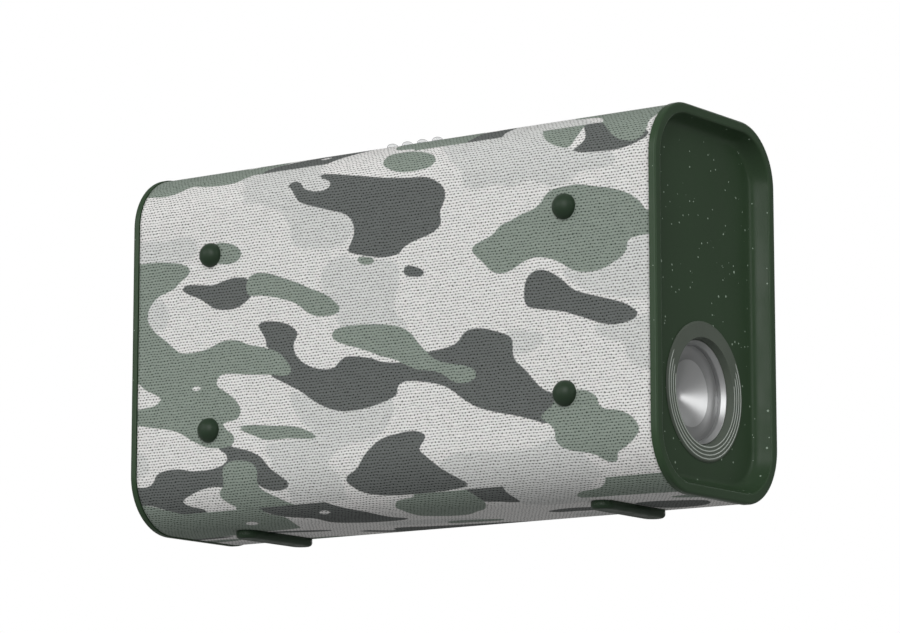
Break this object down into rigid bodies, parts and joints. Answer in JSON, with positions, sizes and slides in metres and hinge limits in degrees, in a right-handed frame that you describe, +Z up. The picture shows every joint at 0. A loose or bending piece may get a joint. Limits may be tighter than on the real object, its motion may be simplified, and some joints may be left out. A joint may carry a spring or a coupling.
{
  "type": "portable bluetooth speaker",
  "caption": "Portable loudspeaker: an upright rounded box in a woven camouflage sleeve, with dished speckled end caps, round passive radiators, top keys, rubber studs and bar feet.",
  "frame": {"origin": "on the standing surface, under the middle of the box around the whole object", "axes": "+X towards the end cap shown in the picture, +Y from the studded face to the plain back, +Z up"},
  "size_m": [0.179, 0.0638, 0.1081],
  "materials": {
    "camouflage_fabric": "woven, matte",
    "speckled_cap_plastic": "moulded, semi-gloss, pale specks",
    "black_plastic": "moulded, matte",
    "green_rubber": "satin",
    "black_rubber": "matte",
    "grey_rubber": "satin",
    "trim_plastic": "matte with thin printed rings",
    "silver_metal": "satin",
    "steel": "plain",
    "cone_paper": "pressed, matte",
    "clear_plastic": "clear, polished",
    "board_laminate": "solder mask",
    "cell_wrap": "shrink wrap over a metal can"
  },
  "bodies": {
    "loudspeaker_body": {"audio_socket": "black_plastic", "battery_cell_left": "cell_wrap", "battery_cell_right": "cell_wrap", "battery_tray": "black_plastic", "cap_gasket_left": "black_rubber", "cap_gasket_right": "black_rubber", "control_board": "board_laminate", "driver_frame_left": "steel", "driver_frame_right": "steel", "driver_magnet_left": "steel", "driver_magnet_right": "steel", "driver_surround_left": "black_rubber", "driver_surround_right": "black_rubber", "end_cap_left": "speckled_cap_plastic", "end_cap_right": "speckled_cap_plastic", "fabric_sleeve": "camouflage_fabric", "face_stud_lower_left": "green_rubber", "face_stud_lower_right": "green_rubber", "face_stud_upper_left": "green_rubber", "face_stud_upper_right": "green_rubber", "foot_left": "green_rubber", "foot_right": "green_rubber", "front_housing": "black_plastic", "indicator_lens_1": "clear_plastic", "indicator_lens_2": "clear_plastic", "indicator_lens_3": "clear_plastic", "indicator_lens_4": "clear_plastic", "key_bezel": "speckled_cap_plastic", "main_board": "board_laminate", "port_board": "board_laminate", "port_door_pin": "steel", "port_plate": "black_plastic", "radiator_frame_left": "silver_metal", "radiator_frame_right": "silver_metal", "radiator_screw_front_left": "steel", "radiator_screw_front_right": "steel", "radiator_screw_rear_left": "steel", "radiator_screw_rear_right": "steel", "radiator_surround_left": "grey_rubber", "radiator_surround_right": "grey_rubber", "radiator_trim_left": "trim_plastic", "radiator_trim_right": "trim_plastic", "rear_housing": "black_plastic", "switch_pairing": "steel", "switch_play": "steel", "switch_power": "steel", "switch_volume_down": "steel", "switch_volume_up": "steel", "usb_socket": "steel"},
    "pairing_key": {"key_pairing": "green_rubber"},
    "volume_down_key": {"key_volume_down": "green_rubber"},
    "play_key": {"key_play": "green_rubber"},
    "volume_up_key": {"key_volume_up": "green_rubber"},
    "power_key": {"key_power": "green_rubber"},
    "radiator_right": {"radiator_cone_right": "silver_metal"},
    "radiator_left": {"radiator_cone_left": "silver_metal"},
    "driver_right": {"driver_cone_right": "cone_paper"},
    "driver_left": {"driver_cone_left": "cone_paper"},
    "port_door": {"port_door": "green_rubber", "port_door_seal": "black_rubber"}
  },
  "joints": [
    {"name": "pairing_key_press", "type": "slide", "parent": "loudspeaker_body", "child": "pairing_key", "axis": [0, 0, -1], "range_m": [0, 0.0008], "stiffness_N_per_m": 1500},
    {"name": "volume_down_key_press", "type": "slide", "parent": "loudspeaker_body", "child": "volume_down_key", "axis": [0, 0, -1], "range_m": [0, 0.0008], "stiffness_N_per_m": 1500},
    {"name": "play_key_press", "type": "slide", "parent": "loudspeaker_body", "child": "play_key", "axis": [0, 0, -1], "range_m": [0, 0.0008], "stiffness_N_per_m": 1500},
    {"name": "volume_up_key_press", "type": "slide", "parent": "loudspeaker_body", "child": "volume_up_key", "axis": [0, 0, -1], "range_m": [0, 0.0008], "stiffness_N_per_m": 1500},
    {"name": "power_key_press", "type": "slide", "parent": "loudspeaker_body", "child": "power_key", "axis": [0, 0, -1], "range_m": [0, 0.0008], "stiffness_N_per_m": 1500},
    {"name": "radiator_right_stroke", "type": "slide", "parent": "loudspeaker_body", "child": "radiator_right", "axis": [1, 0, 0], "range_m": [-0.0012, 0.0012], "stiffness_N_per_m": 500, "deforming": ["radiator_surround_right"]},
    {"name": "radiator_left_stroke", "type": "slide", "parent": "loudspeaker_body", "child": "radiator_left", "axis": [-1, 0, 0], "range_m": [-0.0012, 0.0012], "stiffness_N_per_m": 500, "deforming": ["radiator_surround_left"]},
    {"name": "driver_right_stroke", "type": "slide", "parent": "loudspeaker_body", "child": "driver_right", "axis": [0, -1, 0], "range_m": [-0.002, 0.002], "stiffness_N_per_m": 800, "deforming": ["driver_surround_right"]},
    {"name": "driver_left_stroke", "type": "slide", "parent": "loudspeaker_body", "child": "driver_left", "axis": [0, -1, 0], "range_m": [-0.002, 0.002], "stiffness_N_per_m": 800, "deforming": ["driver_surround_left"]},
    {"name": "port_door_hinge", "type": "hinge", "parent": "loudspeaker_body", "child": "port_door", "pos_m": [-0.086, 0.0128, 0.078], "axis": [0, 0, -1], "range_deg": [0, 100]}
  ]
}
